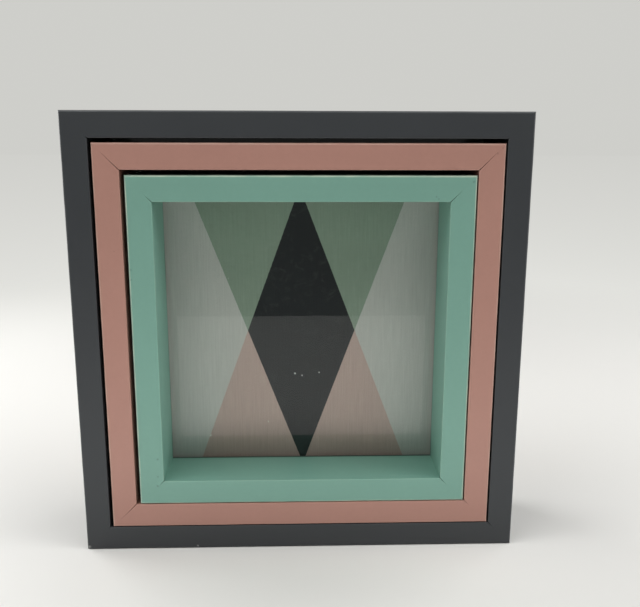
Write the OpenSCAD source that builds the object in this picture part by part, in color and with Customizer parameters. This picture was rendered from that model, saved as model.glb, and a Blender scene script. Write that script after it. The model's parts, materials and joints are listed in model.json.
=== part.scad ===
// Nest of three square box frames, in millimetres.
// The large frame holds the medium one, and the medium frame holds the small one.
// Each frame has four mitred rails, and a rebate at its back for glass, sheet and panel.
// Four turn buttons hold the panel, and each frame hangs by a sawtooth hanger.
// The fronts face -Y and +Z is up.
// The origin is the middle of the underside of the whole nest.

/* [Frames] */
// Outer side of the large frame
large_side = 250; // [200:1:320]
// Width of every rail, seen from the front
rail_w = 14.1; // [13:0.1:18]
// Depth of the small frame's recess, from its front to its glass
small_recess = 34.2; // [25:0.1:60]
// How much smaller the medium frame is than the large frame's opening
medium_play = 2.4; // [1.5:0.1:4]
// How much smaller the small frame is than the medium frame's opening
small_play = 2.9; // [2:0.1:4]
// Gap under a frame that stands on the rail below it
rest_gap = 0.1; // [0:0.05:0.5]
// How far right of the middle the medium frame stands in the large one
medium_shift = 0.45; // [0:0.05:0.7]
// How far right of the middle the small frame stands in the medium one
small_shift = 0.9; // [0:0.05:1]
// Radius of the sanded edges of the rails
arris_r = 0.6; // [0.2:0.1:1.5]
// Opening of each mitre at its inner corner, closing to nothing at its outer one
mitre_gap = 0.2; // [0:0.05:0.6]

/* [Glazing] */
// Width of the lip that the glass rests behind
lip_w = 5; // [3:0.1:6]
// Thickness of the glass
glass_t = 2; // [1.5:0.1:4]
// Thickness of the card sheet behind the glass
sheet_t = 0.8; // [0.3:0.1:2]
// Thickness of the back panel
panel_t = 3; // [2:0.1:5]
// Gap between the rebate's wall and the glass, sheet and panel, on each side
glazing_play = 0.5; // [0.2:0.1:1.5]

/* [Bumpers] */
// Height of the rubber bumpers on each frame's back
bumper_h = 4; // [3.6:0.1:8]
// Gap between a nested frame's bumpers and the glass behind them
nest_clear = 0.2; // [0.1:0.1:1]
// Distance of the bumpers from the frame's top and bottom edges
bumper_inset = 22; // [18:1:30]
// How far the fittings on the back stay in from the edges of the rail
edge_margin = 0.7; // [0.6:0.1:1.5]

/* [Turn buttons] */
// Distance of the turn buttons from the frame's top and bottom edges
button_inset = 50; // [45:1:60]
// Reach of a turn button's nose from its screw
button_reach = 14; // [12:0.5:18]
// Width of a turn button's nose
nose_w = 5; // [3:0.1:6]
// Thickness of a turn button
button_t = 1; // [0.6:0.1:1.2]
// Gap under a turn button, and between it and its screw's head
button_gap = 0.2; // [0.1:0.05:0.3]
// Diameter of the turn button screws
screw_d = 3; // [2:0.1:3.5]
// Radial gap between a turn button and its screw
pivot_play = 0.05; // [0.02:0.01:0.1]
// How far a turn button screw goes into the rail
screw_l = 12; // [8:0.5:20]
// Diameter of a turn button screw's head
screw_head_d = 5.6; // [5:0.1:7]
// Height of a turn button screw's head
screw_head_h = 1.7; // [1:0.1:1.8]
// Width of the slots in a screw's head
slot_w = 0.9; // [0.5:0.1:1.2]
// Length of the slots in a screw's head
slot_l = 3.2; // [2:0.1:4]
// Depth of the slots in a screw's head
slot_deep = 1.1; // [0.5:0.1:1.5]
// Gap between a driven screw, nail or corner wedge and what it is driven through
driven_play = 0.05; // [0.02:0.01:0.1]

/* [Hanger] */
// Length of the sawtooth hanger
hanger_l = 44; // [34:1:60]
// Thickness of the hanger's strip
hanger_t = 0.8; // [0.5:0.1:1.2]
// Clear height behind the hanger's middle, for the head of a nail in the wall
hanger_rise = 1.2; // [0.8:0.1:2]
// Length of each flat foot of the hanger
foot_l = 6; // [5:0.5:9]
// Length of the slope between a foot and the raised middle
slope_l = 2; // [1:0.5:4]
// Distance from one tooth of the hanger to the next
tooth_pitch = 3; // [2:0.5:4]
// Height of the hanger's teeth
tooth_h = 1.6; // [1:0.1:2.5]
// Width of the flat tip of each tooth
tooth_tip = 0.4; // [0.2:0.1:0.8]
// Diameter of the hanger's nails
nail_d = 1.5; // [1:0.1:2]
// Length of the hanger's nails in the rail
nail_l = 12; // [8:1:20]
// Diameter of a nail's head
nail_head_d = 3.4; // [3:0.1:4.5]
// Height of a nail's head
nail_head_h = 0.7; // [0.4:0.1:1]

/* [Corner wedges] */
// Length of each arm of the V-shaped steel wedges that hold the mitres
wedge_arm = 4.5; // [3:0.1:5]
// Angle between the mitre and each arm of a wedge
wedge_angle = 35; // [25:1:45]
// Thickness of the wedges
wedge_t = 0.5; // [0.3:0.1:0.8]
// How deep the wedges are driven
wedge_deep = 8; // [5:0.5:12]
// Distance of a wedge's point from the outer corner, along the mitre
wedge_inset = 9.5; // [7:0.1:10]

/* [Hidden] */
$fn = 48;

// The three frames, as places in the lists below
LARGE = 0;
MEDIUM = 1;
SMALL = 2;

// The side of a frame that a rail is on, as a turn about Y from the top
TOP = 0;
RIGHT = 90;
BOTTOM = 180;
LEFT = 270;

// How far a cutter runs past the solid that it cuts
over = 1;

// Depth of the rebate, which the glass, sheet and panel fill
rebate_d = glass_t + sheet_t + panel_t;
// Width of the flat land at the back of a rail, beside the rebate
land_w = rail_w - lip_w;
// Width of the fittings that lie on the land
fitting_w = land_w - 2 * edge_margin;
// Space behind a nested frame
nest_gap = bumper_h + nest_clear;

small_depth = small_recess + rebate_d;
medium_recess = small_depth + nest_gap;
medium_depth = medium_recess + rebate_d;
large_recess = medium_depth + nest_gap;
large_depth = large_recess + rebate_d;

large_opening = large_side - 2 * rail_w;
medium_side = large_opening - medium_play;
medium_opening = medium_side - 2 * rail_w;
small_side = medium_opening - small_play;
small_opening = small_side - 2 * rail_w;

side = [large_side, medium_side, small_side];
opening = [large_opening, medium_opening, small_opening];
recess = [large_recess, medium_recess, small_recess];
depth = [large_depth, medium_depth, small_depth];

// Middle of each frame: its place across, and the height of its underside
middle_x = [0, medium_shift, medium_shift + small_shift];
under_z = [0, rail_w + rest_gap, 2 * (rail_w + rest_gap)];

// Plane of the three front faces: half of the whole depth is in front of the origin
front_y = -(large_depth + bumper_h) / 2;

// Paint of the three frames, and the finishes of their other pieces
paint = ["#3e4142", "#a47b6f", "#759a8d"];
sheet_colour = ["#cfcdc6", "#cfcdc6", "#8f9690"];
glass_colour = [0.8, 0.9, 0.88, 0.3];
board_colour = "#8a6a4c";
zinc_colour = "#b9bcc0";
rubber_colour = "#2b2b2c";

// Moves to a frame's own place: its front's middle, with y running back from the front
module in_frame(f) {
    translate([middle_x[f], front_y, under_z[f] + side[f] / 2]) children();
}

// Turns something drawn along +Z so that it points back, along +Y
module pointing_back() {
    rotate([-90, 0, 0]) children();
}

// Distance of the middle of the land from the frame's middle
function land_middle(f) = side[f] / 2 - land_w / 2;

// The four places, one on each quarter of the side rails, at a distance from the ends
module on_side_rails(f, inset) {
    for (across = [-1, 1]) {
        for (up = [-1, 1]) {
            translate([across * land_middle(f), depth[f], up * (side[f] / 2 - inset)]) children();
        }
    }
}

// What a sanded edge takes off a square corner at the origin
module arris_waste() {
    difference() {
        translate([-over, -over]) square(arris_r + over);
        translate([arris_r, arris_r]) circle(arris_r);
    }
}

// Section of a rail: x runs back from the front, y runs out from the sight edge
module rail_section(f) {
    difference() {
        square([depth[f], rail_w]);
        arris_waste();
        translate([0, rail_w]) mirror([0, 1]) arris_waste();
        translate([depth[f], rail_w]) rotate(180) arris_waste();
        translate([recess[f], -over]) square([rebate_d + over, lip_w + over]);
    }
}

// Front view of the space between a rail's two mitres, drawn past the rail on both sides
module mitre_outline(f) {
    lean = 1 + mitre_gap / sqrt(2) / rail_w;
    outer_x = side[f] / 2 + over * lean;
    inner_x = side[f] / 2 - (rail_w + over) * lean;
    polygon([
        [-outer_x, side[f] / 2 + over],
        [outer_x, side[f] / 2 + over],
        [inner_x, opening[f] / 2 - over],
        [-inner_x, opening[f] / 2 - over],
    ]);
}

// A rail with mitred ends, before its holes: the top one, turned to its own side
module rail_blank(f, turn) {
    rotate([0, turn, 0]) intersection() {
        translate([0, 0, opening[f] / 2])
            rotate([90, 0, 90])
                linear_extrude(side[f] + 2 * over, center = true) rail_section(f);
        translate([0, depth[f] + over, 0])
            rotate([90, 0, 0]) linear_extrude(depth[f] + 2 * over) mitre_outline(f);
    }
}

module rail(f, turn) {
    color(paint[f]) in_frame(f) difference() {
        rail_blank(f, turn);
        corner_wedge_set(f, driven_play, over);
        if (turn == LEFT || turn == RIGHT) on_side_rails(f, button_inset) screw_shank(driven_play);
        if (turn == TOP) hanger_nail_shanks(f, driven_play, over);
    }
}

// A flat piece that lies in the rebate, its front at a depth from the frame's front
module glazing(f, from, thickness) {
    pane = opening[f] + 2 * (lip_w - glazing_play);
    in_frame(f) translate([-pane / 2, from, -pane / 2]) cube([pane, thickness, pane]);
}

module glass(f) {
    color(glass_colour) glazing(f, recess[f], glass_t);
}

module sheet(f) {
    color(sheet_colour[f]) glazing(f, recess[f] + glass_t, sheet_t);
}

module back_panel(f) {
    color(board_colour) glazing(f, recess[f] + glass_t + sheet_t, panel_t);
}

// Outline of a turn button: a round end about the screw and a nose along +x
module button_outline() {
    nose_middle = button_reach - nose_w / 2;
    difference() {
        union() {
            circle(fitting_w / 2);
            polygon([
                [0, -fitting_w / 2], [nose_middle, -nose_w / 2],
                [nose_middle, nose_w / 2], [0, fitting_w / 2],
            ]);
            translate([nose_middle, 0]) circle(nose_w / 2);
        }
        circle(screw_d / 2 + pivot_play);
    }
}

// A turn button with its nose over the panel: across is -1 on the left and 1 on the right
module turn_button(f, across, up) {
    color(zinc_colour) in_frame(f)
        translate([
            across * land_middle(f),
            depth[f] + button_gap,
            up * (side[f] / 2 - button_inset),
        ])
            pointing_back() rotate(across > 0 ? 180 : 0) linear_extrude(button_t) button_outline();
}

// Where the underside of a turn button screw's head lies above the land
head_seat = button_t + 2 * button_gap;

// A domed head that stands on the origin and points along +Z
module domed_head(diameter, height) {
    dome_r = (pow(diameter / 2, 2) + pow(height, 2)) / (2 * height);
    intersection() {
        translate([0, 0, height - dome_r]) sphere(dome_r);
        cylinder(d = diameter, h = height);
    }
}

// The part of a turn button screw that the rail and the button hold, or its hole
module screw_shank(play = 0) {
    pointing_back() translate([0, 0, -screw_l - play])
        cylinder(d = screw_d + 2 * play, h = screw_l + play + head_seat);
}

module button_screw() {
    screw_shank();
    translate([0, head_seat, 0]) pointing_back() difference() {
        domed_head(screw_head_d, screw_head_h);
        for (quarter = [0, 90]) {
            rotate(quarter)
                translate([-slot_l / 2, -slot_w / 2, screw_head_h - slot_deep])
                    cube([slot_l, slot_w, slot_deep + over]);
        }
    }
}

module button_screws(f) {
    color(zinc_colour) in_frame(f) on_side_rails(f, button_inset) button_screw();
}

// The strip of a hanger, seen from above: flat feet and a raised middle
module hanger_strip() {
    half = hanger_l / 2;
    knee = half - foot_l;
    crest = knee - slope_l;
    // The bend moves the outer corners by this much, so that the strip keeps its thickness
    bend = hanger_t * tan(atan(hanger_rise / slope_l) / 2);
    polygon([
        [-half, 0], [-knee, 0], [-crest, hanger_rise],
        [crest, hanger_rise], [knee, 0], [half, 0],
        [half, hanger_t], [knee + bend, hanger_t], [crest + bend, hanger_rise + hanger_t],
        [-crest - bend, hanger_rise + hanger_t], [-knee - bend, hanger_t], [-half, hanger_t],
    ]);
}

// The notches between the teeth of a hanger, below its raised middle
module hanger_notches() {
    span = hanger_l - 2 * (foot_l + slope_l);
    count = floor(span / tooth_pitch);
    half = (tooth_pitch - tooth_tip) / 2;
    for (i = [0 : count - 1]) {
        translate([(i - (count - 1) / 2) * tooth_pitch, -fitting_w / 2])
            polygon([[-half, -over], [half, -over], [half, 0], [0, tooth_h], [-half, 0]]);
    }
}

// The middles of a hanger's two feet, on the land of the top rail
module on_hanger_feet(f) {
    for (across = [-1, 1]) {
        translate([across * (hanger_l - foot_l) / 2, depth[f], land_middle(f)]) children();
    }
}

module hanger(f) {
    color(zinc_colour) in_frame(f) difference() {
        translate([0, depth[f], land_middle(f)]) difference() {
            linear_extrude(fitting_w, center = true) hanger_strip();
            translate([0, hanger_rise + hanger_t + over, 0])
                rotate([90, 0, 0]) linear_extrude(hanger_rise + hanger_t + 2 * over) hanger_notches();
        }
        hanger_nail_shanks(f, driven_play, over);
    }
}

// The part of the hanger's nails that the hanger and the rail hold, or their holes
module hanger_nail_shanks(f, play = 0, past = 0) {
    on_hanger_feet(f) pointing_back() translate([0, 0, -nail_l - play])
        cylinder(d = nail_d + 2 * play, h = nail_l + play + hanger_t + past);
}

module hanger_nails(f) {
    color(zinc_colour) in_frame(f) {
        hanger_nail_shanks(f);
        on_hanger_feet(f) translate([0, hanger_t, 0])
            pointing_back() domed_head(nail_head_d, nail_head_h);
    }
}

// A V-shaped wedge, or its pocket: the point is on the mitre, nearer the opening
module corner_wedge(play, past) {
    translate([0, 0, -play]) linear_extrude(wedge_deep + play + past) {
        for (turn = [-1, 1]) {
            rotate(turn * wedge_angle)
                translate([-play, -wedge_t / 2 - play])
                    square([wedge_arm + 2 * play, wedge_t + 2 * play]);
        }
    }
}

// The wedges of a frame's four corners, or their pockets
module corner_wedge_set(f, play = 0, past = 0) {
    for (turn = [45 : 90 : 315]) {
        rotate([0, turn, 0])
            translate([side[f] / sqrt(2) - wedge_inset, depth[f] - wedge_deep, 0])
                pointing_back() corner_wedge(play, past);
    }
}

module corner_wedges(f) {
    color(zinc_colour) in_frame(f) corner_wedge_set(f);
}

module bumpers(f) {
    color(rubber_colour) in_frame(f) on_side_rails(f, bumper_inset)
        pointing_back() intersection() {
            cylinder(d = fitting_w, h = bumper_h);
            // A ball as wide as this and as high as the bumper rounds its top edge
            translate([0, 0, bumper_h - fitting_w]) sphere(fitting_w);
        }
}

module large_top_rail() { rail(LARGE, TOP); }
module large_bottom_rail() { rail(LARGE, BOTTOM); }
module large_left_rail() { rail(LARGE, LEFT); }
module large_right_rail() { rail(LARGE, RIGHT); }
module large_glass() { glass(LARGE); }
module large_sheet() { sheet(LARGE); }
module large_back_panel() { back_panel(LARGE); }
module large_turn_button_upper_left() { turn_button(LARGE, -1, 1); }
module large_turn_button_upper_right() { turn_button(LARGE, 1, 1); }
module large_turn_button_lower_left() { turn_button(LARGE, -1, -1); }
module large_turn_button_lower_right() { turn_button(LARGE, 1, -1); }
module large_button_screws() { button_screws(LARGE); }
module large_hanger() { hanger(LARGE); }
module large_hanger_nails() { hanger_nails(LARGE); }
module large_corner_wedges() { corner_wedges(LARGE); }
module large_bumpers() { bumpers(LARGE); }

module medium_top_rail() { rail(MEDIUM, TOP); }
module medium_bottom_rail() { rail(MEDIUM, BOTTOM); }
module medium_left_rail() { rail(MEDIUM, LEFT); }
module medium_right_rail() { rail(MEDIUM, RIGHT); }
module medium_glass() { glass(MEDIUM); }
module medium_sheet() { sheet(MEDIUM); }
module medium_back_panel() { back_panel(MEDIUM); }
module medium_turn_button_upper_left() { turn_button(MEDIUM, -1, 1); }
module medium_turn_button_upper_right() { turn_button(MEDIUM, 1, 1); }
module medium_turn_button_lower_left() { turn_button(MEDIUM, -1, -1); }
module medium_turn_button_lower_right() { turn_button(MEDIUM, 1, -1); }
module medium_button_screws() { button_screws(MEDIUM); }
module medium_hanger() { hanger(MEDIUM); }
module medium_hanger_nails() { hanger_nails(MEDIUM); }
module medium_corner_wedges() { corner_wedges(MEDIUM); }
module medium_bumpers() { bumpers(MEDIUM); }

module small_top_rail() { rail(SMALL, TOP); }
module small_bottom_rail() { rail(SMALL, BOTTOM); }
module small_left_rail() { rail(SMALL, LEFT); }
module small_right_rail() { rail(SMALL, RIGHT); }
module small_glass() { glass(SMALL); }
module small_print() { sheet(SMALL); }
module small_back_panel() { back_panel(SMALL); }
module small_turn_button_upper_left() { turn_button(SMALL, -1, 1); }
module small_turn_button_upper_right() { turn_button(SMALL, 1, 1); }
module small_turn_button_lower_left() { turn_button(SMALL, -1, -1); }
module small_turn_button_lower_right() { turn_button(SMALL, 1, -1); }
module small_button_screws() { button_screws(SMALL); }
module small_hanger() { hanger(SMALL); }
module small_hanger_nails() { hanger_nails(SMALL); }
module small_corner_wedges() { corner_wedges(SMALL); }
module small_bumpers() { bumpers(SMALL); }

large_top_rail();
large_bottom_rail();
large_left_rail();
large_right_rail();
large_glass();
large_sheet();
large_back_panel();
large_turn_button_upper_left();
large_turn_button_upper_right();
large_turn_button_lower_left();
large_turn_button_lower_right();
large_button_screws();
large_hanger();
large_hanger_nails();
large_corner_wedges();
large_bumpers();
medium_top_rail();
medium_bottom_rail();
medium_left_rail();
medium_right_rail();
medium_glass();
medium_sheet();
medium_back_panel();
medium_turn_button_upper_left();
medium_turn_button_upper_right();
medium_turn_button_lower_left();
medium_turn_button_lower_right();
medium_button_screws();
medium_hanger();
medium_hanger_nails();
medium_corner_wedges();
medium_bumpers();
small_top_rail();
small_bottom_rail();
small_left_rail();
small_right_rail();
small_glass();
small_print();
small_back_panel();
small_turn_button_upper_left();
small_turn_button_upper_right();
small_turn_button_lower_left();
small_turn_button_lower_right();
small_button_screws();
small_hanger();
small_hanger_nails();
small_corner_wedges();
small_bumpers();
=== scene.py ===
"""Looks for a nest of three square box frames: painted rails, glass, a harlequin card and fittings."""

import json
import math

import bmesh
import bpy
from mathutils import Matrix, Vector, noise


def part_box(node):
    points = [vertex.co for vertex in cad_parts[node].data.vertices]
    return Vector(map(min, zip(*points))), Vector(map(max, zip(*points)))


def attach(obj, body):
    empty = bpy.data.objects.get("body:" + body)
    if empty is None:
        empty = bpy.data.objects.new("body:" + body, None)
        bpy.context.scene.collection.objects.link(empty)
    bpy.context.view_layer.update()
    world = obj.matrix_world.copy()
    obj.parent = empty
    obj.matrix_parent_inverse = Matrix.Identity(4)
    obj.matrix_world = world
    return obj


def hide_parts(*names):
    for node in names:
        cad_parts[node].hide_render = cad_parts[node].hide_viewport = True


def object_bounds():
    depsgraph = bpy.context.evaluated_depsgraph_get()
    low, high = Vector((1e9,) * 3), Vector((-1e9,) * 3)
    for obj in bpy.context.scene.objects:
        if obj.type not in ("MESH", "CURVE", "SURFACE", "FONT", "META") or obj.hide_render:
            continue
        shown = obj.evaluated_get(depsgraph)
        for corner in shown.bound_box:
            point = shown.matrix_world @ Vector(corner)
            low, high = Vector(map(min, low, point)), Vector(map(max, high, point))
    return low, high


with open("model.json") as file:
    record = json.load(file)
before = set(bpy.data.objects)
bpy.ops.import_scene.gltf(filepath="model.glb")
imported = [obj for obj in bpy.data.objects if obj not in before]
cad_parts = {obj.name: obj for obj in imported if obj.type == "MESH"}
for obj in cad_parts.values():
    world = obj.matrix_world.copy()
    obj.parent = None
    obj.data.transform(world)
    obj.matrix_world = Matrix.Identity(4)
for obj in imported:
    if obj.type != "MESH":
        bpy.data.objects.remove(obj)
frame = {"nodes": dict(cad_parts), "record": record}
cad_box = [list(corner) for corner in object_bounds()]

MM = 0.001
FRAMES = ("large", "medium", "small")
SIDES = ("top", "right", "bottom", "left")
CORNERS = ("upper_left", "upper_right", "lower_left", "lower_right")

FRONT_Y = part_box("large_top_rail")[0].y

BODY_OF = {
    node: body
    for body, nodes in frame["record"]["behaviour"]["bodies"].items()
    for node in nodes
}


# ---- Small tools for materials ---------------------------------------------------------------------

def linear(code, level=1.0):
    """A colour written as sRGB hex, as the linear values that Blender works in, times level."""
    parts = [int(code[i:i + 2], 16) / 255 for i in (1, 3, 5)]
    parts = [p / 12.92 if p <= 0.04045 else ((p + 0.055) / 1.055) ** 2.4 for p in parts]
    return [min(1.0, p * level) for p in parts] + [1.0]


def add(tree, kind, inputs=None, **settings):
    """Adds a node with its settings. An input is a value, or a socket of another node to link it to."""
    node = tree.nodes.new(kind)
    for name, value in settings.items():
        setattr(node, name, value)
    for name, value in (inputs or {}).items():
        if isinstance(value, bpy.types.NodeSocket):
            tree.links.new(value, node.inputs[name])
        else:
            node.inputs[name].default_value = value
    return node


def new_material(name):
    """A new material and its node tree, which is empty."""
    material = bpy.data.materials.new(name)
    material.use_nodes = True
    material.node_tree.nodes.clear()
    return material, material.node_tree


# Sockets of the Mix node that mixes colours. Those of Map Range are numbers below: 0 is the value, 1 and
# 2 are the ends of its range, and 3 and 4 the ends of the range that it is turned into.
MIX_A, MIX_B, MIXED = 6, 7, 2


def varied(tree, colour, amount, how_much):
    """A colour made lighter and darker by amount where how_much, from 0 to 1, is high and low."""
    value = add(tree, "ShaderNodeMapRange", {0: how_much, 3: 1 - amount, 4: 1 + amount})
    return add(tree, "ShaderNodeHueSaturation", {"Value": value.outputs[0], "Color": colour}).outputs[0]


def spotted(tree, place, plane_y, spots):
    """1 in small ragged spots on a plane that faces the front, each (x, z, radius) in mm, else 0."""
    ragged = add(tree, "ShaderNodeTexNoise", {"Vector": place, "Scale": 1 / (0.5 * MM), "Detail": 2.0})
    covered = 0.0
    for x, z, radius in spots:
        far = add(tree, "ShaderNodeVectorMath", {
            0: place, 1: (x * MM, plane_y, z * MM)}, operation="DISTANCE")
        far = add(tree, "ShaderNodeMath", {
            0: ragged.outputs[0], 1: 2 * radius * MM, 2: far.outputs["Value"]}, operation="MULTIPLY_ADD")
        near = add(tree, "ShaderNodeMapRange", {
            0: far.outputs[0], 1: 2.1 * radius * MM, 2: 1.3 * radius * MM})
        covered = add(tree, "ShaderNodeMath", {
            0: near.outputs[0], 1: covered}, operation="MAXIMUM").outputs[0]
    return covered


SPECK_R = 0.308 * MM


def specked(tree, place, cell, share, strength):
    """As much as strength in round specks up to 0.6 mm across, else 0. A share of the cells of a net
    that is cell wide have one."""
    net = add(tree, "ShaderNodeTexVoronoi", {"Vector": place, "Scale": 1 / cell})
    chosen = add(tree, "ShaderNodeSeparateColor", {0: net.outputs["Color"]})
    reach = add(tree, "ShaderNodeMapRange", {
        0: chosen.outputs[0], 1: 1 - share, 2: 1.0, 3: 0.0, 4: SPECK_R / cell})
    inside = add(tree, "ShaderNodeMath", {
        0: net.outputs["Distance"], 1: reach.outputs[0]}, operation="LESS_THAN")
    return add(tree, "ShaderNodeMath", {
        0: inside.outputs[0], 1: strength}, operation="MULTIPLY").outputs[0]


# ---- Materials -------------------------------------------------------------------------------------

# How bright paint under painted shade is beside unshaded paint, and how much of the paint a speck and a mark
# hide
SHADED_LEVEL = 0.12
SPECK_STRENGTH = 0.75
MARK_STRENGTH = 0.55


def sprayed_paint(name, colour, worn_and_lit_colour, speck_colour, speck_share, roughness, marks, mark_colour):
    """Satin paint sprayed over sealed wood.
    It gives the eye a nearly even colour with a soft sheen, faint cloudiness, a very fine orange peel,
    paint rubbed thin to the pale primer on the arrises with a painted highlight on the top arrises and
    sight edges, painted shade behind the arrises, in the recess and in front of the glass, a few dark
    specks of dust, and the marks of wear seen."""
    material, tree = new_material(name)
    place = add(tree, "ShaderNodeTexCoord").outputs["Object"]
    clouds = add(tree, "ShaderNodeTexNoise", {"Vector": place, "Scale": 1 / (45 * MM), "Detail": 3.0})
    mottle = add(tree, "ShaderNodeTexNoise", {"Vector": place, "Scale": 1 / (2.5 * MM), "Detail": 2.0})
    tone = varied(tree, linear(colour), 0.035, clouds.outputs[0])
    tone = varied(tree, tone, 0.03, mottle.outputs[0])

    # Paint rubbed thin to the primer on the arrises, with a painted highlight on the top arrises and sight
    # edges, broken up along their length
    arris = add(tree, "ShaderNodeAttribute", attribute_name="arris").outputs["Fac"]
    patchy = add(tree, "ShaderNodeTexNoise", {"Vector": place, "Scale": 1 / (12 * MM), "Detail": 4.0})
    worn_and_lit = add(tree, "ShaderNodeMapRange", {0: patchy.outputs[0], 1: 0.3, 2: 0.7, 3: 0.15, 4: 0.75})
    worn_and_lit = add(tree, "ShaderNodeMath", {0: worn_and_lit.outputs[0], 1: arris}, operation="MULTIPLY")
    tone = add(tree, "ShaderNodeMix", {
        0: worn_and_lit.outputs[0], MIX_A: tone, MIX_B: linear(worn_and_lit_colour)}, data_type="RGBA")

    # Painted shade: darker paint behind the arrises, in the recesses and in front of the glass, where shade
    # falls
    painted_shade = add(tree, "ShaderNodeAttribute", attribute_name="painted_shade").outputs["Fac"]
    tone = add(tree, "ShaderNodeMix", {
        0: painted_shade, MIX_A: tone.outputs[MIXED], MIX_B: linear(colour, SHADED_LEVEL)}, data_type="RGBA")

    speck = specked(tree, place, 11 * MM, speck_share, SPECK_STRENGTH)
    tone = add(tree, "ShaderNodeMix", {
        0: speck, MIX_A: tone.outputs[MIXED], MIX_B: linear(speck_colour)}, data_type="RGBA")

    marked = spotted(tree, place, FRONT_Y, marks)
    marked = add(tree, "ShaderNodeMath", {0: marked, 1: MARK_STRENGTH}, operation="MULTIPLY")
    tone = add(tree, "ShaderNodeMix", {
        0: marked.outputs[0], MIX_A: tone.outputs[MIXED], MIX_B: linear(mark_colour)}, data_type="RGBA")

    gloss = add(tree, "ShaderNodeMapRange", {
        0: clouds.outputs[0], 3: roughness - 0.04, 4: roughness + 0.04})
    peel = add(tree, "ShaderNodeTexNoise", {"Vector": place, "Scale": 1 / (1.1 * MM), "Detail": 1.5})
    bump = add(tree, "ShaderNodeBump", {
        "Strength": 0.2, "Distance": 0.015 * MM, "Height": peel.outputs[0]})
    shader = add(tree, "ShaderNodeBsdfPrincipled", {
        "Base Color": tone.outputs[MIXED], "Roughness": gloss.outputs[0], "Normal": bump.outputs[0]})
    add(tree, "ShaderNodeOutputMaterial", {0: shader.outputs[0]})
    return material


def planed_pine():
    """Pine, planed and left bare where the frames are glued and glazed.
    It gives the eye straight brown growth lines 2 mm apart along each rail and short fine pores."""
    material, tree = new_material("planed_pine")
    along = add(tree, "ShaderNodeAttribute", attribute_name="along").outputs["Vector"]
    drawn = add(tree, "ShaderNodeMapping", {
        0: along, "Scale": (1 / (60 * MM), 1 / (2 * MM), 1 / (2 * MM))})
    rings = add(tree, "ShaderNodeTexNoise", {
        "Vector": drawn.outputs[0], "Scale": 1.0, "Detail": 2.0, "Distortion": 0.4})
    fine = add(tree, "ShaderNodeMapping", {
        0: along, "Scale": (1 / (4 * MM), 1 / (0.25 * MM), 1 / (0.25 * MM))})
    pores = add(tree, "ShaderNodeTexNoise", {"Vector": fine.outputs[0], "Scale": 1.0, "Detail": 2.0})
    ramp = add(tree, "ShaderNodeMapRange", {0: rings.outputs[0], 1: 0.4, 2: 0.65})
    tone = add(tree, "ShaderNodeMix", {
        0: ramp.outputs[0], MIX_A: linear("#c9a878"), MIX_B: linear("#a37a49")}, data_type="RGBA")
    tone = varied(tree, tone.outputs[MIXED], 0.12, pores.outputs[0])
    bump = add(tree, "ShaderNodeBump", {
        "Strength": 0.4, "Distance": 0.05 * MM, "Height": pores.outputs[0]})
    shader = add(tree, "ShaderNodeBsdfPrincipled", {
        "Base Color": tone, "Roughness": 0.7, "Normal": bump.outputs[0]})
    add(tree, "ShaderNodeOutputMaterial", {0: shader.outputs[0]})
    return material


GLASS_TINT = "#f6fbf8"


def float_glass():
    """Float glass, 2 mm thick.
    It gives the eye a sharp mirror image laid over what is behind it, and no colour but a faint green."""
    material, tree = new_material("float_glass")
    place = add(tree, "ShaderNodeTexCoord").outputs["Object"]
    smear = add(tree, "ShaderNodeTexNoise", {
        "Vector": place, "Scale": 1 / (25 * MM), "Detail": 4.0, "Distortion": 1.5})
    rough = add(tree, "ShaderNodeMapRange", {0: smear.outputs[0], 1: 0.5, 2: 0.8, 3: 0.0, 4: 0.03})
    pane = add(tree, "ShaderNodeBsdfPrincipled", {
        "Base Color": linear(GLASS_TINT), "Roughness": rough.outputs[0], "IOR": 1.5,
        "Transmission Weight": 1.0})
    # Shadow rays and soft light pass straight through the pane
    rays = add(tree, "ShaderNodeLightPath")
    passing = add(tree, "ShaderNodeMath", {
        0: rays.outputs["Is Shadow Ray"], 1: rays.outputs["Is Diffuse Ray"]}, operation="MAXIMUM")
    clear = add(tree, "ShaderNodeBsdfTransparent", {0: linear(GLASS_TINT)})
    both = add(tree, "ShaderNodeMixShader", {0: passing.outputs[0], 1: pane.outputs[0], 2: clear.outputs[0]})
    add(tree, "ShaderNodeOutputMaterial", {0: both.outputs[0]})
    return material


# Real linen threads are 0.35 mm apart. They are drawn wider apart, so that they show.
THREAD_SPACING = 0.8 * MM
DUST_COLOUR = "#d8dad2"


def linen_threads(tree, place):
    """How high the threads of the linen-faced card stand, from 0 to 1."""
    warp = add(tree, "ShaderNodeMapping", {
        0: place, "Scale": (1 / THREAD_SPACING, 1.0, 1 / (22 * MM))})
    warp = add(tree, "ShaderNodeTexNoise", {"Vector": warp.outputs[0], "Scale": 1.0, "Detail": 2.0})
    weft = add(tree, "ShaderNodeMapping", {
        0: place, "Scale": (1 / (9 * MM), 1.0, 1 / THREAD_SPACING)})
    weft = add(tree, "ShaderNodeTexNoise", {"Vector": weft.outputs[0], "Scale": 1.0, "Detail": 2.0})
    weft = add(tree, "ShaderNodeMath", {0: weft.outputs[0], 1: 0.35}, operation="MULTIPLY")
    both = add(tree, "ShaderNodeMath", {0: warp.outputs[0], 1: weft.outputs[0]}, operation="ADD")
    return add(tree, "ShaderNodeMapRange", {0: both.outputs[0], 1: 0.42, 2: 0.92}).outputs[0]


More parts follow.
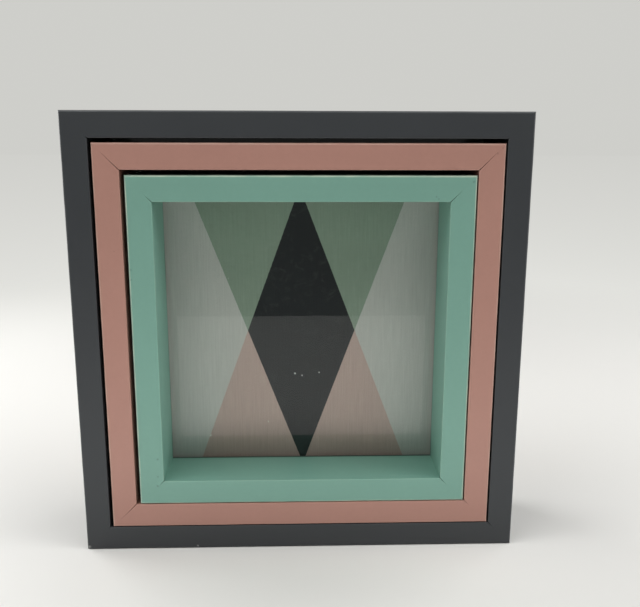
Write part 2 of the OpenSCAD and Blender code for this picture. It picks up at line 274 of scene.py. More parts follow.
def linen_card(name, tone_at):
    """Card faced with thin linen.
    It gives the eye a matt cloth with upright threads, lighter and darker by a few parts in a hundred,
    and a little pale fluff."""
    material, tree = new_material(name)
    place = add(tree, "ShaderNodeTexCoord").outputs["Object"]
    threads = linen_threads(tree, place)
    tone = varied(tree, tone_at(tree, place), 0.07, threads)
    fluff = specked(tree, place, 14 * MM, share=0.16, strength=0.6)
    tone = add(tree, "ShaderNodeMix", {
        0: fluff, MIX_A: tone, MIX_B: linear(DUST_COLOUR)}, data_type="RGBA")
    bump = add(tree, "ShaderNodeBump", {"Strength": 0.5, "Distance": 0.08 * MM, "Height": threads})
    shader = add(tree, "ShaderNodeBsdfPrincipled", {
        "Base Color": tone.outputs[MIXED], "Roughness": 0.85, "Normal": bump.outputs[0]})
    add(tree, "ShaderNodeOutputMaterial", {0: shader.outputs[0]})
    return material


# Grains of dust on the print: (x, z, radius) in mm
DUST = ((-3.0, 95.8, 0.55), (1.3, 94.5, 0.5), (11.7, 96.3, 0.5), (-19.6, 64.8, 0.5), (-55.3, 56.0, 0.7))

# The printed harlequin: half the width and height of one lozenge, how far the card sits askew, how far
# the ink creeps along the threads, and where and how much painted shade darkens the card toward its edges
LOZENGE_HALF_W = 32.1 * MM
LOZENGE_HALF_H = 85.6 * MM
LOZENGE_SHIFT = (-0.4 * MM, 0.3 * MM)
ASKEW = 0.0087
INK_CREEP = 0.2 * MM
PAINTED_SHADE_FROM, PAINTED_SHADE_TO, PAINTED_SHADE_LEVEL = 55 * MM, 80 * MM, 0.88
INK_CHARCOAL = "#1e2124"
INK_GREEN = "#899688"
INK_BLUSH = "#bb9e98"
LINEN = "#bfbab8"


def harlequin(tree, place):
    """The printed lozenges: charcoal in the middle, green above and blush below, bare linen beside."""
    low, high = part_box("small_glass")
    middle_x = (low.x + high.x) / 2 + LOZENGE_SHIFT[0]
    middle_z = (low.z + high.z) / 2 + LOZENGE_SHIFT[1]
    creep = add(tree, "ShaderNodeTexNoise", {"Vector": place, "Scale": 1 / (1.2 * MM), "Detail": 1.0})
    creep = add(tree, "ShaderNodeMapRange", {0: creep.outputs[0], 3: -INK_CREEP, 4: INK_CREEP})
    at = add(tree, "ShaderNodeSeparateXYZ", {0: place})
    across = add(tree, "ShaderNodeMath", {0: at.outputs[0], 1: creep.outputs[0]}, operation="ADD")
    across = add(tree, "ShaderNodeMath", {
        0: at.outputs[2], 1: ASKEW, 2: across.outputs[0]}, operation="MULTIPLY_ADD")
    start = middle_x + ASKEW * middle_z
    across = add(tree, "ShaderNodeMapRange", {
        0: across.outputs[0], 1: start, 2: start + 2 * LOZENGE_HALF_W}, clamp=False)
    up = add(tree, "ShaderNodeMapRange", {
        0: at.outputs[2], 1: middle_z, 2: middle_z + 2 * LOZENGE_HALF_H}, clamp=False)
    rising = add(tree, "ShaderNodeMath", {0: across.outputs[0], 1: up.outputs[0]}, operation="ADD")
    rising = add(tree, "ShaderNodeMath", {0: rising.outputs[0]}, operation="ROUND")
    falling = add(tree, "ShaderNodeMath", {0: across.outputs[0], 1: up.outputs[0]}, operation="SUBTRACT")
    falling = add(tree, "ShaderNodeMath", {0: falling.outputs[0]}, operation="ROUND")

    # Rows of lozenges: 1 above the middle one, -1 below it. Columns: 0 is the middle one's.
    row = add(tree, "ShaderNodeMath", {0: rising.outputs[0], 1: falling.outputs[0]}, operation="SUBTRACT")
    column = add(tree, "ShaderNodeMath", {0: rising.outputs[0], 1: falling.outputs[0]}, operation="ADD")
    column = add(tree, "ShaderNodeMath", {0: column.outputs[0]}, operation="ABSOLUTE")
    middle = add(tree, "ShaderNodeMath", {0: column.outputs[0], 1: 0.5}, operation="LESS_THAN")
    near = add(tree, "ShaderNodeMath", {0: column.outputs[0], 1: 1.5}, operation="LESS_THAN")
    green = add(tree, "ShaderNodeMath", {0: row.outputs[0], 1: 0.5}, operation="GREATER_THAN")
    green = add(tree, "ShaderNodeMath", {0: green.outputs[0], 1: near.outputs[0]}, operation="MULTIPLY")
    blush = add(tree, "ShaderNodeMath", {0: row.outputs[0], 1: -0.5}, operation="LESS_THAN")
    blush = add(tree, "ShaderNodeMath", {0: blush.outputs[0], 1: near.outputs[0]}, operation="MULTIPLY")
    tone = linear(LINEN)
    for where, ink in ((middle, INK_CHARCOAL), (green, INK_GREEN), (blush, INK_BLUSH)):
        mixed = add(tree, "ShaderNodeMix", {
            0: where.outputs[0], MIX_A: tone, MIX_B: linear(ink)}, data_type="RGBA")
        tone = mixed.outputs[MIXED]

    # Painted shade: the card is darker toward its edges, where the recess shades it
    aside = add(tree, "ShaderNodeMath", {0: at.outputs[0], 1: middle_x}, operation="SUBTRACT")
    aside = add(tree, "ShaderNodeMath", {0: aside.outputs[0]}, operation="ABSOLUTE")
    above = add(tree, "ShaderNodeMath", {0: at.outputs[2], 1: middle_z}, operation="SUBTRACT")
    above = add(tree, "ShaderNodeMath", {0: above.outputs[0]}, operation="ABSOLUTE")
    edge_shade = add(tree, "ShaderNodeMath", {0: aside.outputs[0], 1: above.outputs[0]}, operation="MAXIMUM")
    edge_shade = add(tree, "ShaderNodeMapRange", {
        0: edge_shade.outputs[0], 1: PAINTED_SHADE_FROM, 2: PAINTED_SHADE_TO, 3: 1.0, 4: PAINTED_SHADE_LEVEL})
    tone = add(tree, "ShaderNodeHueSaturation", {"Value": edge_shade.outputs[0], "Color": tone}).outputs[0]

    # Faint pale smears and grains of dust
    smear = add(tree, "ShaderNodeTexNoise", {
        "Vector": place, "Scale": 1 / (8 * MM), "Detail": 5.0, "Distortion": 2.0})
    smear = add(tree, "ShaderNodeMapRange", {0: smear.outputs[0], 1: 0.55, 2: 0.8, 3: 0.0, 4: 0.035})
    dust = spotted(tree, place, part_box("small_print")[0].y, DUST)
    dust = add(tree, "ShaderNodeMath", {0: dust, 1: smear.outputs[0]}, operation="MAXIMUM")
    dusty = add(tree, "ShaderNodeMix", {
        0: dust.outputs[0], MIX_A: tone, MIX_B: linear(DUST_COLOUR)}, data_type="RGBA")
    return dusty.outputs[MIXED]


def plain_linen(tree, place):
    """The same linen, unprinted, a little uneven from washing."""
    washed = add(tree, "ShaderNodeTexNoise", {"Vector": place, "Scale": 1 / (40 * MM), "Detail": 2.0})
    tone = add(tree, "ShaderNodeMix", {
        0: washed.outputs[0], MIX_A: linear(LINEN, 0.95), MIX_B: linear(LINEN, 1.05)}, data_type="RGBA")
    return tone.outputs[MIXED]


def hardboard():
    """Hardboard, pressed from brown wood fibre, its smooth face out.
    It gives the eye a dull brown sheet with fine matted fibres, darker flecks and a low sheen."""
    material, tree = new_material("hardboard")
    place = add(tree, "ShaderNodeTexCoord").outputs["Object"]
    clouds = add(tree, "ShaderNodeTexNoise", {"Vector": place, "Scale": 1 / (30 * MM), "Detail": 4.0})
    matted = add(tree, "ShaderNodeTexNoise", {
        "Vector": place, "Scale": 1 / (1.5 * MM), "Detail": 5.0, "Roughness": 0.7, "Distortion": 2.0})
    flecks = add(tree, "ShaderNodeTexVoronoi", {"Vector": place, "Scale": 1 / (1.8 * MM)})
    tone = add(tree, "ShaderNodeMix", {
        0: clouds.outputs[0], MIX_A: linear("#7d5a3d"), MIX_B: linear("#926c4b")}, data_type="RGBA")
    tone = varied(tree, tone.outputs[MIXED], 0.22, matted.outputs[0])
    dark = add(tree, "ShaderNodeMapRange", {
        0: flecks.outputs["Distance"], 1: 0.0, 2: 0.25, 3: 0.55, 4: 0.0})
    tone = add(tree, "ShaderNodeMix", {
        0: dark.outputs[0], MIX_A: tone, MIX_B: linear("#5a3f2a")}, data_type="RGBA")
    gloss = add(tree, "ShaderNodeMapRange", {0: matted.outputs[0], 3: 0.45, 4: 0.65})
    bump = add(tree, "ShaderNodeBump", {
        "Strength": 0.4, "Distance": 0.06 * MM, "Height": matted.outputs[0]})
    shader = add(tree, "ShaderNodeBsdfPrincipled", {
        "Base Color": tone.outputs[MIXED], "Roughness": gloss.outputs[0], "Normal": bump.outputs[0]})
    add(tree, "ShaderNodeOutputMaterial", {0: shader.outputs[0]})
    return material


def zinc_plate():
    """Steel, stamped and bright zinc plated.
    It gives the eye a pale metal with a slight bluish cloud and fine marks from tumbling in a barrel."""
    material, tree = new_material("zinc_plated_steel")
    place = add(tree, "ShaderNodeTexCoord").outputs["Object"]
    clouds = add(tree, "ShaderNodeTexNoise", {"Vector": place, "Scale": 1 / (5 * MM), "Detail": 3.0})
    marks = add(tree, "ShaderNodeTexNoise", {
        "Vector": place, "Scale": 1 / (0.4 * MM), "Detail": 3.0, "Distortion": 1.0})
    tone = add(tree, "ShaderNodeMix", {
        0: clouds.outputs[0], MIX_A: linear("#bfc5cd"), MIX_B: linear("#d5d3cb")}, data_type="RGBA")
    gloss = add(tree, "ShaderNodeMapRange", {0: marks.outputs[0], 3: 0.24, 4: 0.42})
    bump = add(tree, "ShaderNodeBump", {
        "Strength": 0.25, "Distance": 0.02 * MM, "Height": marks.outputs[0]})
    shader = add(tree, "ShaderNodeBsdfPrincipled", {
        "Base Color": tone.outputs[MIXED], "Metallic": 1.0, "Roughness": gloss.outputs[0],
        "Normal": bump.outputs[0]})
    add(tree, "ShaderNodeOutputMaterial", {0: shader.outputs[0]})
    return material


def moulded_rubber():
    """Black rubber, moulded.
    It gives the eye a soft dark grey with a dusty bloom and a dull shine."""
    material, tree = new_material("moulded_rubber")
    place = add(tree, "ShaderNodeTexCoord").outputs["Object"]
    bloom = add(tree, "ShaderNodeTexNoise", {"Vector": place, "Scale": 1 / (1.5 * MM), "Detail": 4.0})
    grain = add(tree, "ShaderNodeTexNoise", {"Vector": place, "Scale": 1 / (0.3 * MM), "Detail": 1.0})
    tone = add(tree, "ShaderNodeMix", {
        0: bloom.outputs[0], MIX_A: linear("#1e1f20"), MIX_B: linear("#38393a")}, data_type="RGBA")
    bump = add(tree, "ShaderNodeBump", {
        "Strength": 0.3, "Distance": 0.03 * MM, "Height": grain.outputs[0]})
    shader = add(tree, "ShaderNodeBsdfPrincipled", {
        "Base Color": tone.outputs[MIXED], "Roughness": 0.6, "Normal": bump.outputs[0]})
    add(tree, "ShaderNodeOutputMaterial", {0: shader.outputs[0]})
    return material


# Marks of wear on the fronts of the frames: (x, z, radius) in mm
GREY_CHIPS = ((-123.7, 1.7, 0.9), (-60.5, 1.5, 0.7))
PINK_SCUFFS = ((108.0, 231.1, 0.5), (105.5, 228.2, 0.6), (-108.5, 232.6, 0.6))
MINT_SCUFFS = (
    (-81.7, 56.1, 0.8), (-82.0, 45.3, 0.6), (-82.4, 39.7, 0.8), (73.5, 205.4, 0.6), (74.8, 204.3, 0.6),
    (93.4, 213.4, 0.9), (-91.4, 166.1, 0.7), (-91.5, 160.6, 0.6))

PAINT = {
    "large": sprayed_paint(
        "grey_satin_paint", "#34373a", worn_and_lit_colour="#6d7172", speck_colour="#222425", speck_share=0.12,
        roughness=0.42, marks=GREY_CHIPS, mark_colour="#c4c4bf"),
    "medium": sprayed_paint(
        "pink_satin_paint", "#af8275", worn_and_lit_colour="#d0b5a4", speck_colour="#6b4c43", speck_share=0.22,
        roughness=0.45, marks=PINK_SCUFFS, mark_colour="#6e4a42"),
    "small": sprayed_paint(
        "mint_satin_paint", "#76a293", worn_and_lit_colour="#c6d3bf", speck_colour="#4a6259", speck_share=0.22,
        roughness=0.45, marks=MINT_SCUFFS, mark_colour="#52736a"),
}
PINE = planed_pine()
GLASS = float_glass()
PRINTED = linen_card("printed_linen_card", harlequin)
PLAIN = linen_card("plain_linen_card", plain_linen)
BOARD = hardboard()
ZINC = zinc_plate()
RUBBER = moulded_rubber()


# ---- Rails -----------------------------------------------------------------------------------------

# Sizes of the rails that the boxes of the CAD nodes don't give. The photo shows the outer arrises
# rounder than the 0.6 mm of the CAD source, and the ones at the opening, the sight edges, sharper.
OUTER_R = 1.0 * MM
OUTER_DEEP = 1.7 * MM
SIGHT_R = 0.3 * MM
BACK_R = 0.6 * MM
REBATE_EDGE = 0.15 * MM
LIP_W = 5 * MM
MITRE_GAP = 0.4 * MM
# The back stops this far short of the CAD one, so that the wedges driven in flush show
BACK_SHORT = 0.05 * MM

# Steps of each arc, distance from ring to ring along a rail, and places of points across its front
ARC_STEPS = 6
STATION_STEP = 5 * MM
FRONT_STATIONS = (0.1, 0.16, 0.24, 0.36, 0.5, 0.64, 0.78)
# A point this far beside a rounded edge keeps the flat flat. The last is for the rings beside a mitre.
ARC_LEAD = 0.25 * MM
EDGE_LEAD = 0.3 * MM
MITRE_LEAD = 0.8 * MM
# How round the edge along an open mitre is, and the share of that which is left where it is closed
MITRE_EDGE = 0.1 * MM
CLOSED_ROUNDING = 0.1

# Waviness left by sanding by hand, as (how far, over what length): of the arrises and of the faces
ARRIS_WAVER = (0.07 * MM, 9 * MM)
FACE_WAVER = (0.012 * MM, 40 * MM)
# How far apart in the noise two frames and two sides start, so that no two rails waver alike
FRAME_SEED, SIDE_SEED = 7.3, 3.1

# How far the arrises of each rail are lightened: paint rubbed thin to the primer, and on the top arrises
# a painted highlight. The sight edges, where it is a painted highlight, and the ends of each arc are
# lightened less.
WEAR_AND_LIGHT = {
    "large": {"top": 0.2, "right": 0.6, "bottom": 0.1, "left": 0.4},
    "medium": {"top": 0.65, "right": 1.0, "bottom": 0.3, "left": 0.8},
    "small": {"top": 1.0, "right": 1.0, "bottom": 1.0, "left": 1.0},
}
SIGHT_WEAR_AND_LIGHT = 0.3
ARC_END_WEAR_AND_LIGHT = 0.4
# How much painted shade darkens each frame inside its recess, where another frame slides
RECESS_SHADE = {"large": 0.5, "medium": 0.5, "small": 0.0}
# How much painted shade darkens the paint behind the outer arris of each rail, where one frame meets the
# next or the table
ARRIS_SHADE = {
    "large": {"top": 0.1, "right": 0.1, "bottom": 0.9, "left": 0.1},
    "medium": {"top": 0.5, "right": 0.5, "bottom": 0.9, "left": 0.5},
    "small": {"top": 0.7, "right": 0.5, "bottom": 0.9, "left": 0.5},
}
ARRIS_SHADE_DEEP = 4 * MM
# Painted shade in front of the glass, all round and more toward the foot
GLASS_SHADE = 0.25
GLASS_SHADE_AT_FOOT = 0.65
GLASS_SHADE_DEEP = 1.8 * MM
GLASS_SHADE_TALL = 20 * MM

# How far the crack of each mitre has opened from the sight edge, as a share of the rail's width, how
# deep it runs into the recess, and how quickly it narrows
CRACKS = {
    "large": {"upper_left": 0.12, "upper_right": 0.08, "lower_right": 0.24, "lower_left": 0.07},
    "medium": {"upper_left": 0.72, "upper_right": 0.85, "lower_right": 0.2, "lower_left": 0.72},
    "small": {"upper_left": 0.24, "upper_right": 0.45, "lower_right": 0.26, "lower_left": 0.2},
}
CRACK_DEPTH = 3 * MM
CRACK_TAPER = 1.2
# The corners at the low and high end of each rail's own length
ENDS = {
    "top": ("upper_left", "upper_right"),
    "right": ("upper_right", "lower_right"),
    "bottom": ("lower_right", "lower_left"),
    "left": ("lower_left", "upper_left"),
}

# Edges that turn by more than this are shaded as sharp
SHARP_TURN = math.radians(50)


def frame_sizes(name):
    """The main sizes of a frame, and the middle of its front, from the boxes of its CAD nodes."""
    low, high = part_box(f"{name}_top_rail")
    glass_low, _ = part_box(f"{name}_glass")
    side, depth, rail_w = high - low
    return {
        "side": side,
        "depth": depth,
        "rail_w": rail_w,
        "opening": side - 2 * rail_w,
        "recess": glass_low.y - low.y,
        "middle": Vector(((low.x + high.x) / 2, low.y, high.z - side / 2)),
    }


def rail_profile(size):
    """Section of a rail as (back, out, worn_and_lit, bare): back from the front, out from the sight edge,
    how far its paint is rubbed and lit by a painted highlight, and whether the wood from there to the next
    point is bare."""
    depth, width, recess = size["depth"] - BACK_SHORT, size["rail_w"], size["recess"]
    points = []

    def flat(back, out, bare=False):
        points.append((back, out, 0, bare))

    def rounded(back, out, deep, radius, turn, wear_and_light):
        """The arc round an arris, from its middle."""
        for step in range(ARC_STEPS + 1):
            angle = math.radians(turn - 90 * step / ARC_STEPS)
            worn_and_lit = wear_and_light if 0 < step < ARC_STEPS else ARC_END_WEAR_AND_LIGHT * wear_and_light
            points.append((back + deep * math.cos(angle), out + radius * math.sin(angle), worn_and_lit, False))

    flat(recess, REBATE_EDGE)
    flat(recess - REBATE_EDGE, 0)
    flat(recess - GLASS_SHADE_DEEP, 0)
    flat(recess - GLASS_SHADE_DEEP - EDGE_LEAD, 0)
    flat(CRACK_DEPTH, 0)
    flat(SIGHT_R + ARC_LEAD, 0)
    rounded(SIGHT_R, SIGHT_R, SIGHT_R, SIGHT_R, 270, SIGHT_WEAR_AND_LIGHT)
    flat(0, SIGHT_R + ARC_LEAD)
    for share in FRONT_STATIONS:
        flat(0, share * width)
    flat(0, width - OUTER_R - ARC_LEAD)
    rounded(OUTER_DEEP, width - OUTER_R, OUTER_DEEP, OUTER_R, 180, 1.0)
    flat(OUTER_DEEP + ARC_LEAD, width)
    flat(OUTER_DEEP + ARRIS_SHADE_DEEP, width)
    flat(depth - BACK_R - ARC_LEAD, width)
    rounded(depth - BACK_R, width - BACK_R, BACK_R, BACK_R, 90, 1.0)
    flat(depth, width - BACK_R - ARC_LEAD)
    flat(depth, LIP_W + EDGE_LEAD)
    flat(depth, LIP_W + REBATE_EDGE, bare=True)
    flat(depth - REBATE_EDGE, LIP_W, bare=True)
    flat(recess, LIP_W, bare=True)
    return points


def painted_shade_at(name, side, recess, back, out, above_foot):
    """How much painted shade darkens the paint at a point of a rail's section, from 0 to 1."""
    if out < LIP_W and back <= CRACK_DEPTH:
        return 0
    if out < LIP_W:
        low_down = min(1, max(0, 1 - above_foot / GLASS_SHADE_TALL))
        by_glass = recess - back < GLASS_SHADE_DEEP + EDGE_LEAD / 2
        return max(GLASS_SHADE + GLASS_SHADE_AT_FOOT * low_down if by_glass else 0, RECESS_SHADE[name])
    if back < OUTER_DEEP:
        behind_arris = 2 * back / OUTER_DEEP - 1
    else:
        behind_arris = 1 - (back - OUTER_DEEP) / ARRIS_SHADE_DEEP
    return ARRIS_SHADE[name][side] * max(0, behind_arris)


def inward(points):
    """For each point of a closed section, the unit direction into the section."""
    count = len(points)
    area = sum(
        points[i][0] * points[(i + 1) % count][1] - points[(i + 1) % count][0] * points[i][1]
        for i in range(count)
    )
    turn = 1 if area > 0 else -1
    found = []
    for i in range(count):
        before = Vector(points[i][:2]) - Vector(points[i - 1][:2])
        after = Vector(points[(i + 1) % count][:2]) - Vector(points[i][:2])
        direction = before.normalized() + after.normalized()
        found.append(Vector((-direction.y, direction.x)).normalized() * turn)
    return found


def place_on_side(side, middle, along, back, out):
    """A point of the top rail's own measures, on the rail of the given side."""
    across, up = {
        "top": (along, out), "right": (out, -along), "bottom": (-along, -out), "left": (-out, along)}[side]
    return middle + Vector((across, back, up))


def crack_open(share, back, out, width):
    """How open a mitre is at a distance out from the sight edge, from 1 down to 0 where its crack ends.
    The paint inside the recess has filled the crack."""
    narrowing = max(0.0, 1 - out / (share * width)) ** CRACK_TAPER
    return narrowing * max(0.0, 1 - back / CRACK_DEPTH)


def wavering(seed, spot, arris):
    """How far hand sanding has moved the surface at a spot, more on an arris than on a face."""
    far, length = ARRIS_WAVER
    on_arris = arris * far * noise.noise(seed + spot / length)
    far, length = FACE_WAVER
    return on_arris + far * noise.noise(seed + spot / length)


def keep_planes_flat(piece):
    """Lets the big faces set the normals, so that light runs evenly over them up to a rounded edge."""
    weighted = piece.modifiers.new("big_faces_lead", "WEIGHTED_NORMAL")
    weighted.mode, weighted.weight, weighted.keep_sharp = "FACE_AREA", 100, True


def build_rail(name, side, size):
    """One mitred rail. Its arrises are softened and waver a little, as sanded ones do. Its mitres are
    closed and painted over, but for a crack at the sight edge."""
    points = rail_profile(size)
    into = inward(points)
    width, opening = size["rail_w"], size["opening"]
    foot = size["middle"].z - opening / 2
    seed = Vector((FRAMES.index(name) * FRAME_SEED, SIDES.index(side) * SIDE_SEED, 0))
    cracks = [CRACKS[name][corner] for corner in ENDS[side]]

    # Rings of the section along the rail: (share of the way to the mitre, distance short of it, depth of
    # rounding)
    half_count = int(size["side"] / 2 / STATION_STEP)
    rings = [(i / half_count, 0, 0) for i in range(half_count)]
    rings += [(1, MITRE_LEAD, 0), (1, MITRE_EDGE, 0), (1, 0.3 * MITRE_EDGE, 0.3 * MITRE_EDGE)]
    rings.append((1, 0, MITRE_EDGE))
    rings = [(-s, short, deep) for s, short, deep in reversed(rings) if s > 0] + rings

    mesh = bpy.data.meshes.new(f"{name}_{side}_rail_mesh")
    shape = bmesh.new()
    arris_layer = shape.verts.layers.float.new("arris")
    painted_shade_layer = shape.verts.layers.float.new("painted_shade")
    along_layer = shape.verts.layers.float_vector.new("along")
    made = []
    for share, short, deep in rings:
        ring = []
        for (back, out, arris, _), direction in zip(points, into):
            opened = crack_open(cracks[share > 0], back, out, width)
            softness = CLOSED_ROUNDING + (1 - CLOSED_ROUNDING) * opened
            inside = Vector((back, out)) + direction * deep * softness
            to_mitre = opening / 2 + inside.y - MITRE_GAP / math.sqrt(2) * opened
            where = abs(share) * to_mitre - short * softness * math.sqrt(2)
            where = math.copysign(1, share) * where
            spot = Vector((where, inside.x, inside.y))
            inside += direction * wavering(seed, spot, arris)
            vert = shape.verts.new(
                place_on_side(side, size["middle"], where, inside.x, opening / 2 + inside.y))
            # Paint rubbed to the primer on the arrises, and a painted highlight on the top arrises and sight
            # edges
            vert[arris_layer] = arris * WEAR_AND_LIGHT[name][side]
            # Painted shade behind the arrises, in the recesses and in front of the glass
            vert[painted_shade_layer] = painted_shade_at(name, side, size["recess"], back, out, vert.co.z - foot)
            vert[along_layer] = spot
            ring.append(vert)
        made.append(ring)
    count = len(points)
    for first, second in zip(made, made[1:]):
        for i in range(count):
            j = (i + 1) % count
            face = shape.faces.new((first[i], first[j], second[j], second[i]))
            face.material_index = int(points[i][3])
            face.smooth = True
    for ring in (made[0], made[-1]):
        shape.faces.new(ring)
    bmesh.ops.recalc_face_normals(shape, faces=shape.faces)
    shape.to_mesh(mesh)
    shape.free()
    mesh.materials.append(PAINT[name])
    mesh.materials.append(PINE)
    mesh.set_sharp_from_angle(angle=SHARP_TURN)
    rail = bpy.data.objects.new(f"painted_{name}_{side}_rail", mesh)
    bpy.context.scene.collection.objects.link(rail)
    keep_planes_flat(rail)
    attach(rail, BODY_OF[f"{name}_{side}_rail"])
    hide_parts(f"{name}_{side}_rail")


# ---- Fittings --------------------------------------------------------------------------------------

# How far the edges are eased. The plated fittings have their CAD names.
GLASS_EASE = 0.2 * MM
BUTTON_EASE = 0.15 * MM
BUMPER_EASE = 0.4 * MM
PLATED_EASE = {
    "button_screws": 0.08 * MM,
    "hanger": 0.08 * MM,
    "hanger_nails": 0.1 * MM,
    "corner_wedges": 0.05 * MM,
}

# CAD vertices closer than this are one, CAD faces within the first turn are one plane, and CAD edges
# that turn by more than the second are eased
SAME_SPOT = 0.001 * MM
SAME_PLANE_TURN = math.radians(1)
EASED_TURN = math.radians(30)


def eased(node, radius, material, piece, flat=False):
    """A copy of a CAD solid, with its sharp edges eased as stamping, turning or moulding leaves them.
    A flat piece keeps each of its faces a true plane."""
    mesh = frame["nodes"][node].data.copy()
    shape = bmesh.new()
    shape.from_mesh(mesh)
    bmesh.ops.remove_doubles(shape, verts=shape.verts, dist=SAME_SPOT)
    bmesh.ops.dissolve_limit(shape, angle_limit=SAME_PLANE_TURN, verts=shape.verts, edges=shape.edges)
    sharp = [e for e in shape.edges if len(e.link_faces) == 2 and e.calc_face_angle(0) > EASED_TURN]
    bmesh.ops.bevel(
        shape, geom=sharp, offset=radius, segments=2, profile=0.5, affect="EDGES", clamp_overlap=True)
    for face in shape.faces:
        face.smooth = not flat
    shape.to_mesh(mesh)
    shape.free()
    mesh.materials.clear()
    mesh.materials.append(material)
    mesh.set_sharp_from_angle(angle=SHARP_TURN)
    made = bpy.data.objects.new(piece, mesh)
    bpy.context.scene.collection.objects.link(made)
    keep_planes_flat(made)
    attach(made, BODY_OF[node])
    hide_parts(node)


def finish_node(node, material):
    """A CAD node whose shape is right keeps it and gets its material."""
    mesh = frame["nodes"][node].data
    mesh.materials.clear()
    mesh.materials.append(material)


for name in FRAMES:
    size = frame_sizes(name)
    for side in SIDES:
        build_rail(name, side, size)
    eased(f"{name}_glass", GLASS_EASE, GLASS, f"{name}_glass_pane", flat=True)
    card = "small_print" if name == "small" else f"{name}_sheet"
    finish_node(card, PRINTED if name == "small" else PLAIN)
    finish_node(f"{name}_back_panel", BOARD)
    for corner in CORNERS:
        button = f"{name}_turn_button_{corner}"
        eased(button, BUTTON_EASE, ZINC, f"{name}_plated_button_{corner}")
    for fitting, ease in PLATED_EASE.items():
        eased(f"{name}_{fitting}", ease, ZINC, f"{name}_plated_{fitting}")
    eased(f"{name}_bumpers", BUMPER_EASE, RUBBER, f"{name}_moulded_bumpers")


# ---- Floor, light and camera -----------------------------------------------------------------------

BACKDROP = linear("#fffffa")
BACKDROP_LEVEL = 0.62
FLOOR = "#eeede9"
FLOOR_REACH = 12
# Painted shadow: the table is a little darker in front of the frames, more so at the left, by distance from
# a spot
PAINTED_SHADOW_SPOT = (-0.05, -0.05, 0)
PAINTED_SHADOW_NEAR, PAINTED_SHADOW_FAR, PAINTED_SHADOW_LEVEL = 0.03, 0.18, 0.84
# Distances from the object between which the table fades into the backdrop
FADE_NEAR, FADE_FAR = 0.4, 0.95
# The pool of light on the table falls off with distance, to the level of the backdrop
POOL_LEVEL = 0.125
# Light that comes evenly from all round
SOFT_LEVEL = 0.07

# A dim card in front of the object, as bright as the level. It darkens what the glass and the fronts
# mirror above the table's near edge, and its upper edge is the soft line across the middle of the glass.
CARD_LEVEL = 0.18
CARD_Y = -0.56
CARD_HALF_W = 1.6
CARD_TOP = 0.32

# The camera, fitted to the corners of the five squares that the photo shows
CAMERA_PLACE = (-0.001413, -0.435785, 0.234871)
CAMERA_FORWARD = Vector((0.03021, 0.97673, -0.21234))
CAMERA_UP = Vector((0.00405, 0.21232, 0.97719))
LENS_LENGTH = 42.232
SENSOR_WIDTH = 36
CLIP_START = 0.01


def flat_sheet(name, corners, material):
    """A sheet with four corners that isn't part of the object."""
    mesh = bpy.data.meshes.new(name)
    mesh.from_pydata(corners, [], [(0, 1, 2, 3)])
    mesh.materials.append(material)
    made = bpy.data.objects.new(name, mesh)
    bpy.context.scene.collection.objects.link(made)
    return made


def seen_rays(tree):
    """1 for what the camera sees, also by mirror and through glass."""
    rays = add(tree, "ShaderNodeLightPath")
    seen = add(tree, "ShaderNodeMath", {
        0: rays.outputs["Is Camera Ray"], 1: rays.outputs["Is Glossy Ray"]}, operation="MAXIMUM")
    return add(tree, "ShaderNodeMath", {
        0: seen.outputs[0], 1: rays.outputs["Is Transmission Ray"]}, operation="MAXIMUM").outputs[0]


def floor_material():
    """A matt pale table that fades into the backdrop behind it."""
    material, tree = new_material("pale_floor")
    place = add(tree, "ShaderNodeTexCoord").outputs["Object"]
    clouds = add(tree, "ShaderNodeTexNoise", {"Vector": place, "Scale": 1 / (250 * MM), "Detail": 2.0})
    tone = varied(tree, linear(FLOOR), 0.01, clouds.outputs[0])
    # Painted shadow in front of the frames
    near = add(tree, "ShaderNodeVectorMath", {0: place, 1: PAINTED_SHADOW_SPOT}, operation="DISTANCE")
    near = add(tree, "ShaderNodeMapRange", {
        0: near.outputs["Value"], 1: PAINTED_SHADOW_NEAR, 2: PAINTED_SHADOW_FAR, 3: PAINTED_SHADOW_LEVEL, 4: 1.0},
        interpolation_type="SMOOTHSTEP")
    tone = add(tree, "ShaderNodeHueSaturation", {"Value": near.outputs[0], "Color": tone}).outputs[0]
    shader = add(tree, "ShaderNodeBsdfPrincipled", {
        "Base Color": tone, "Roughness": 0.75, "Specular IOR Level": 0.2})
    far = add(tree, "ShaderNodeVectorMath", {0: place}, operation="LENGTH")
    fade = add(tree, "ShaderNodeMapRange", {
        0: far.outputs["Value"], 1: FADE_NEAR, 2: FADE_FAR}, interpolation_type="SMOOTHSTEP")
    fade = add(tree, "ShaderNodeMath", {0: fade.outputs[0], 1: seen_rays(tree)}, operation="MULTIPLY")
    pool = add(tree, "ShaderNodeMath", {0: POOL_LEVEL, 1: far.outputs["Value"]}, operation="DIVIDE")
    level = add(tree, "ShaderNodeMath", {0: pool.outputs[0], 1: BACKDROP_LEVEL}, operation="ADD")
    glow = add(tree, "ShaderNodeEmission", {0: BACKDROP, 1: level.outputs[0]})
    both = add(tree, "ShaderNodeMixShader", {0: fade.outputs[0], 1: shader.outputs[0], 2: glow.outputs[0]})
    add(tree, "ShaderNodeOutputMaterial", {0: both.outputs[0]})
    return material


def dim_card_material():
    """A plain dim card, which glows evenly."""
    material, tree = new_material("dim_card")
    glow = add(tree, "ShaderNodeEmission", {0: (1, 1, 1, 1), 1: CARD_LEVEL})
    add(tree, "ShaderNodeOutputMaterial", {0: glow.outputs[0]})
    return material


floor_low = cad_box[0][2]
flat_sheet("floor", [
    (-FLOOR_REACH, -FLOOR_REACH, floor_low), (FLOOR_REACH, -FLOOR_REACH, floor_low),
    (FLOOR_REACH, FLOOR_REACH, floor_low), (-FLOOR_REACH, FLOOR_REACH, floor_low)], floor_material())

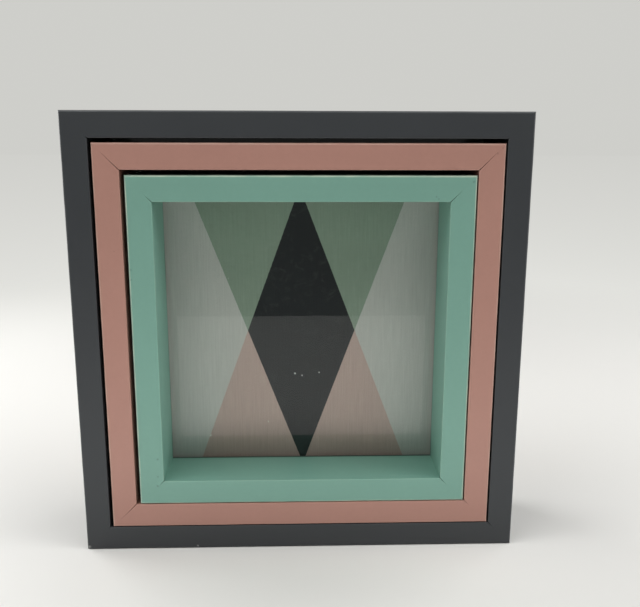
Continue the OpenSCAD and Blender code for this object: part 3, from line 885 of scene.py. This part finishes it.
# No camera sees the dim card, and it throws neither soft light nor shadow on the table
dim_card = flat_sheet("dim_card", [
    (-CARD_HALF_W, CARD_Y, floor_low), (CARD_HALF_W, CARD_Y, floor_low),
    (CARD_HALF_W, CARD_Y, CARD_TOP), (-CARD_HALF_W, CARD_Y, CARD_TOP)], dim_card_material())
dim_card.visible_camera = False
dim_card.visible_diffuse = False
dim_card.visible_shadow = False

world = bpy.data.worlds.new("studio")
bpy.context.scene.world = world
world.use_nodes = True
sky = world.node_tree
sky.nodes.clear()
soft = add(sky, "ShaderNodeBackground", {0: (1, 1, 1, 1), 1: SOFT_LEVEL})
pale = add(sky, "ShaderNodeBackground", {0: BACKDROP, 1: BACKDROP_LEVEL})
which = add(sky, "ShaderNodeMixShader", {0: seen_rays(sky), 1: soft.outputs[0], 2: pale.outputs[0]})
add(sky, "ShaderNodeOutputWorld", {0: which.outputs[0]})


def soft_box(name, place, width, height, power, aim=(0, 0, 0.12), mirrored=True):
    """A soft box that faces the middle of the object, or another aim, and that no camera sees."""
    lamp = bpy.data.lights.new(name, "AREA")
    lamp.shape, lamp.size, lamp.size_y, lamp.energy = "RECTANGLE", width, height, power
    box = bpy.data.objects.new(name, lamp)
    box.location = place
    box.rotation_euler = (Vector(aim) - Vector(place)).to_track_quat("-Z", "Y").to_euler()
    box.visible_camera = False
    box.visible_glossy = mirrored
    bpy.context.scene.collection.objects.link(box)


# A light tent: a big box overhead at each side, a lower one at each side, one behind at the left, one for
# the table at the far right, and a strip on the table in front that stands for the light that the near
# table throws up
soft_box("upper_left_soft_box", (-0.5, -0.35, 1.24), 0.8, 0.8, 6.1)
soft_box("upper_right_soft_box", (0.5, -0.35, 1.24), 0.8, 0.8, 4.9)
soft_box("low_left_soft_box", (-1.12, -0.26, 0.7), 0.8, 0.8, 4.0)
soft_box("low_right_soft_box", (1.12, -0.26, 0.7), 0.8, 0.8, 5.6)
soft_box("back_left_soft_box", (-1.02, 0.589, 0.669), 0.8, 0.8, 9.7)
soft_box("far_table_soft_box", (1.0, 0.6, 0.7), 0.6, 0.6, 2.4, aim=(0.45, 0.05, 0))
soft_box("table_strip", (0, -0.145, 0.003), 0.7, 0.12, 0.33, aim=(0, -0.145, 1), mirrored=False)

lens = bpy.data.cameras.new("camera")
lens.lens = LENS_LENGTH
lens.sensor_width = SENSOR_WIDTH
lens.clip_start = CLIP_START
camera = bpy.data.objects.new("camera", lens)
forward = CAMERA_FORWARD.normalized()
right = forward.cross(CAMERA_UP).normalized()
turned = Matrix((right, right.cross(forward), -forward)).transposed().to_4x4()
camera.matrix_world = Matrix.Translation(CAMERA_PLACE) @ turned
bpy.context.scene.collection.objects.link(camera)
bpy.context.scene.camera = camera
bpy.context.scene.view_settings.view_transform = "Standard"
